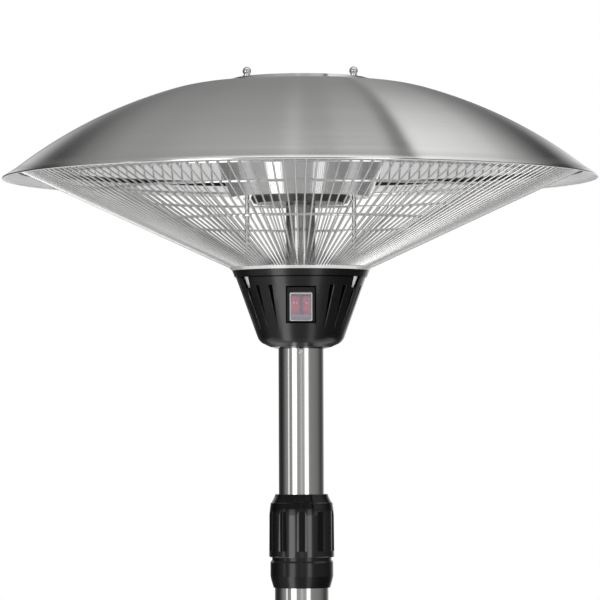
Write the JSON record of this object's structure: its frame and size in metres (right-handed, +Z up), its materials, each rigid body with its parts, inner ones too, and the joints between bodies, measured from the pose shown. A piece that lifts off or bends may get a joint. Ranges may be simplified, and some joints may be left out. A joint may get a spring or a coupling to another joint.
{
  "type": "electric patio heater",
  "caption": "Free-standing electric patio heater: domed reflector over quartz lamps and a wire guard, twist-clamp telescopic pole, round weighted base.",
  "frame": {"origin": "on the floor under the centre of the pole", "axes": "+Z up along the pole, the switches face -Y, +X to the right of someone facing the switches"},
  "size_m": [0.666, 0.666, 1.7768],
  "materials": {
    "reflector_dome": "satin",
    "crown_cap": "satin",
    "cap_spacers": "satin",
    "cap_washers": "polished",
    "cap_nuts": "polished",
    "tie_rods": "polished",
    "lock_nuts": "satin",
    "inner_reflector": "polished",
    "post_pan": "satin",
    "center_post": "polished",
    "supply_wires": "matte",
    "quartz_tubes": "gloss",
    "lamp_filaments": "satin",
    "lamp_ends": "matte",
    "lamp_brackets": "satin",
    "lamp_terminals": "matte",
    "lamp_leads": "matte",
    "guard_wires": "polished",
    "guard_hoops": "polished",
    "guard_base_ring": "satin",
    "top_plate": "satin",
    "rod_nuts": "polished",
    "control_housing": "satin",
    "window_shields": "polished",
    "housing_screws": "satin",
    "switch_body": "satin",
    "rocker_left": "gloss",
    "rocker_right": "gloss",
    "switch_cover": "gloss",
    "tip_switch": "satin",
    "terminal_block": "satin",
    "head_spigot": "satin",
    "pole_screw": "polished",
    "upper_pole": "polished",
    "guide_bush": "matte",
    "clamp_nut": "satin",
    "clamp_collet": "satin",
    "clamp_sleeve": "satin",
    "lower_pole": "polished",
    "pole_socket": "satin",
    "socket_bolts": "satin",
    "socket_screws": "polished",
    "base_weight": "matte",
    "base_cover": "polished",
    "cover_collar": "satin",
    "base_feet": "matte",
    "cable_gland": "satin",
    "gland_locknut": "satin"
  },
  "bodies": {
    "stand": {"clamp_collet": "clamp_collet", "clamp_sleeve": "clamp_sleeve", "lower_pole": "lower_pole", "pole_socket": "pole_socket", "socket_bolts": "socket_bolts", "socket_screws": "socket_screws", "base_weight": "base_weight", "base_cover": "base_cover", "cover_collar": "cover_collar", "base_feet": "base_feet", "cable_gland": "cable_gland", "gland_locknut": "gland_locknut"},
    "clamp_nut": {"clamp_nut": "clamp_nut"},
    "mast": {"reflector_dome": "reflector_dome", "crown_cap": "crown_cap", "cap_spacers": "cap_spacers", "cap_washers": "cap_washers", "cap_nuts": "cap_nuts", "tie_rods": "tie_rods", "lock_nuts": "lock_nuts", "inner_reflector": "inner_reflector", "post_pan": "post_pan", "center_post": "center_post", "supply_wires": "supply_wires", "quartz_tubes": "quartz_tubes", "lamp_filaments": "lamp_filaments", "lamp_ends": "lamp_ends", "lamp_brackets": "lamp_brackets", "lamp_terminals": "lamp_terminals", "lamp_leads": "lamp_leads", "guard_wires": "guard_wires", "guard_hoops": "guard_hoops", "guard_base_ring": "guard_base_ring", "top_plate": "top_plate", "rod_nuts": "rod_nuts", "control_housing": "control_housing", "window_shields": "window_shields", "housing_screws": "housing_screws", "switch_body": "switch_body", "switch_cover": "switch_cover", "tip_switch": "tip_switch", "terminal_block": "terminal_block", "head_spigot": "head_spigot", "pole_screw": "pole_screw", "upper_pole": "upper_pole", "guide_bush": "guide_bush"},
    "rocker_left": {"rocker_left": "rocker_left"},
    "rocker_right": {"rocker_right": "rocker_right"}
  },
  "joints": [
    {"name": "pole_slide", "type": "slide", "parent": "stand", "child": "mast", "axis": [0, 0, 1], "range_m": [-0.13, 0.32]},
    {"name": "clamp_twist", "type": "hinge", "parent": "stand", "child": "clamp_nut", "pos_m": [0, 0, 1.266], "axis": [0, 0, 1], "range_deg": [0, 180]},
    {"name": "rocker_left_rock", "type": "hinge", "parent": "mast", "child": "rocker_left", "pos_m": [-0.00615, -0.05524, 1.51083], "axis": [1, 0, 0], "range_deg": [-16, 0]},
    {"name": "rocker_right_rock", "type": "hinge", "parent": "mast", "child": "rocker_right", "pos_m": [0.00615, -0.05524, 1.51083], "axis": [1, 0, 0], "range_deg": [-16, 0]}
  ]
}
